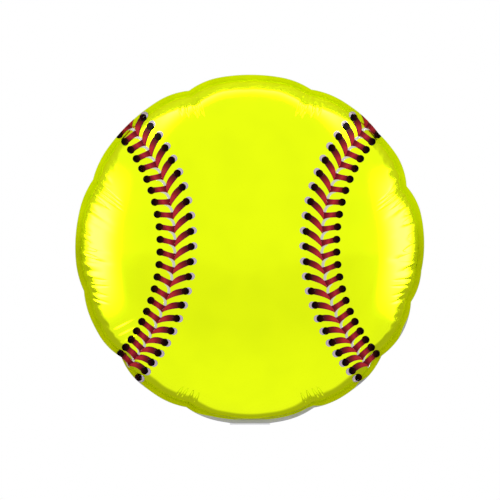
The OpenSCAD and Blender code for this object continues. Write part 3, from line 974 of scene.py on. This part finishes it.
def make_light(name, strength_of, clear):
    """Light whose strength is what strength_of makes of the material's wire. A clear card adds it to
    what lies behind."""
    material, wire = new_finish(name)
    white = {"Color": (1, 1, 1, 1), "Strength": strength_of(wire)}
    light = wire.node("ShaderNodeEmission", {}, white)
    if clear:
        behind = wire.node("ShaderNodeBsdfTransparent")
        light = wire.node("ShaderNodeAddShader", {}, {0: light, 1: behind})
    material.node_tree.links.new(light.socket, material.node_tree.nodes["Material Output"].inputs[0])
    return material


def smoothed(wire, value, low, high):
    return wire.node(
        "ShaderNodeMapRange", {"interpolation_type": "SMOOTHSTEP"},
        {"Value": value, "From Min": low, "From Max": high},
    )


def one_axis(wire, vector, axis):
    return wire.node("ShaderNodeSeparateXYZ", {}, {0: vector}, axis)


def size_of(wire, value):
    return wire.node("ShaderNodeMath", {"operation": "ABSOLUTE"}, {0: value})


def at_first(wire):
    """1 for a ray that has met one surface at most, so that no stray glints reach dull film."""
    return wire.maths("LESS_THAN", wire.node("ShaderNodeLightPath", output="Ray Depth"), 1.5)


def beside(wire):
    """Bright to both sides of the balloon's rim, fading far to the front and upwards and downwards."""
    place = wire.node("ShaderNodeTexCoord", output="Object")
    y, z = one_axis(wire, place, 1), size_of(wire, one_axis(wire, place, 2))
    bright = smoothed(wire, y, -0.8, 0.3) * smoothed(wire, y, 2.1, 0.8) * smoothed(wire, z, 1.1, 0.2)
    glow = smoothed(wire, y, -1.9, -0.3) * smoothed(wire, z, 1.2, 0)
    return bright**2 * brightness * at_first(wire) + glow * 0.1


def arched(wire):
    """Bright behind an arch across the ceiling, which reaches further forward at both sides."""
    place = wire.node("ShaderNodeTexCoord", output="Object")
    x, y = size_of(wire, one_axis(wire, place, 0)), one_axis(wire, place, 1)
    behind = y - 0.93 + x * x * 0.5
    bright = (smoothed(wire, behind, -0.6, 0.5) * smoothed(wire, x, 1.9, 0.7)) ** 2
    return bright * brightness * at_first(wire)


# The varnished print is lit far more strongly than the dull hem and the bare silver, which mirrors all
# that it's given. Each set of cards has its strength, the pieces that it lights and how far out it is.
other_pieces = [
    piece for piece in bpy.data.objects if piece.type == "MESH" and piece not in printed_pieces
]
for word, brightness, pieces, out in (
    ("strong", 30, printed_pieces, 0), ("weak", 1.2, other_pieces, 0.02),
):
    lit = bpy.data.collections.new(f"pieces with {word} cards")
    for piece in pieces:
        lit.objects.link(piece)
    side_light = make_light(f"{word} side light", beside, True)
    ceiling_light = make_light(f"{word} ceiling light", arched, True)
    upright = [(0, -2.1, -1.2), (0, 2.2, -1.2), (0, 2.2, 1.2), (0, -2.1, 1.2)]
    level = [(-2.5, -1, 0), (2.5, -1, 0), (2.5, 2.5, 0), (-2.5, 2.5, 0)]
    for name, place, points, light in (
        ("left_card", (-CARDS_OUT - out, 0, SIDE_CARDS_UP), upright, side_light),
        ("right_card", (CARDS_OUT + out, 0, SIDE_CARDS_UP), upright, side_light),
        ("ceiling_card", (0, 0, CARDS_OUT + out), level, ceiling_light),
    ):
        card = add_card(f"{word}_{name}", place, points)
        card.data.materials.append(light)
        card.light_linking.receiver_collection = lit

# The grey card's outline on its right half: degrees from the top, and metres from its middle. Its edge
# is soft over a share of the way in.
GREY_OUTLINE = [
    (0, 1.55), (8, 1.5), (16, 1.65), (24, 1.85), (32, 1.65), (40, 1.3), (48, 1.2), (58, 1.4), (66, 1.35),
    (74, 0.95), (82, 0.88), (90, 0.85), (97, 1.05), (106, 1.25), (114, 1.3), (122, 1.3), (136, 1.45),
    (146, 1.3), (156, 1.25), (168, 1.15), (180, 1.12),
]
GREY_EDGE = 0.25
grey_places = [(math.radians(a), r) for a, r in GREY_OUTLINE]
grey_places += [(-a, r) for a, r in grey_places[-2:0:-1]]
points = [(0, 0, 0)] + [(r * math.sin(a), 0, r * math.cos(a)) for a, r in grey_places]
count = len(grey_places)
grey_card = add_card(
    "grey_card", (0, GREY_CARD_BACK, 0), points, [(0, 1 + i, 1 + (i + 1) % count) for i in range(count)]
)
add_numbers(grey_card, "inward", [1] + [0] * count)


def greyer_below(wire):
    at = one_axis(wire, wire.node("ShaderNodeTexCoord", output="Object"), 2)
    height = wire.node("ShaderNodeMapRange", {}, {"Value": at, "From Min": -1, "From Max": 1})
    shades = [(0.0, 0.43), (0.4, 0.44), (0.5, 0.47), (0.62, 0.58), (0.75, 0.66), (1.0, 0.72)]
    ramp = {"stops": [(place, (shade, shade, shade)) for place, shade in shades]}
    shade = wire.node("ShaderNodeValToRGB", ramp, {"Fac": height})
    inward = wire.node("ShaderNodeAttribute", {"attribute_name": "inward"}, output="Fac")
    return 1 - (1 - shade) * smoothed(wire, inward, 0, GREY_EDGE)


grey_card.data.materials.append(make_light("grey card", greyer_below, False))

floor_z = cad_box[0][2] - FLOOR_DROP
floor = add_piece(
    "floor", np.array([(-30, -30, 0), (30, -30, 0), (30, 30, 0), (-30, 30, 0)], float), [(0, 1, 2, 3)]
)
floor.location.z = floor_z


def seen_directly(wire):
    """1 for a ray from the camera, or one that a mirror or clear film passes on."""
    paths = wire.node("ShaderNodeLightPath").socket.node.outputs
    rays = ("Is Camera Ray", "Is Glossy Ray", "Is Transmission Ray")
    seen = [Wire(wire.tree, paths[name]) for name in rays]
    return wire.maths("MAXIMUM", wire.maths("MAXIMUM", seen[0], seen[1]), seen[2])


pale_floor, wire = new_finish("pale floor")
place = wire.node("ShaderNodeTexCoord", output="Object")
middle = wire.node("ShaderNodeVectorMath", {"operation": "LENGTH"}, {0: place}, "Value")
# Painted light: the floor glows a little more towards its middle, under the balloon, as a pool of light
# painted on it for the foil to mirror
shade = wire.node(
    "ShaderNodeMapRange", {"interpolation_type": "SMOOTHSTEP"},
    {"Value": middle, "From Min": 3, "From Max": 0, "To Min": 0.13, "To Max": 0.22},
)
set_surface(
    pale_floor, Base_Color=(0.78, 0.78, 0.78), Roughness=0.9, Specular_IOR_Level=0.0,
    Emission_Color=(1, 1, 1), Emission_Strength=seen_directly(wire) * shade,
)
floor.data.materials.append(pale_floor)

surround = bpy.data.worlds.new("white surround")
surround.use_nodes = True
bpy.context.scene.world = surround
background = surround.node_tree.nodes["Background"]
background.inputs["Color"].default_value = (1, 1, 1, 1)
background.inputs["Strength"].default_value = 1
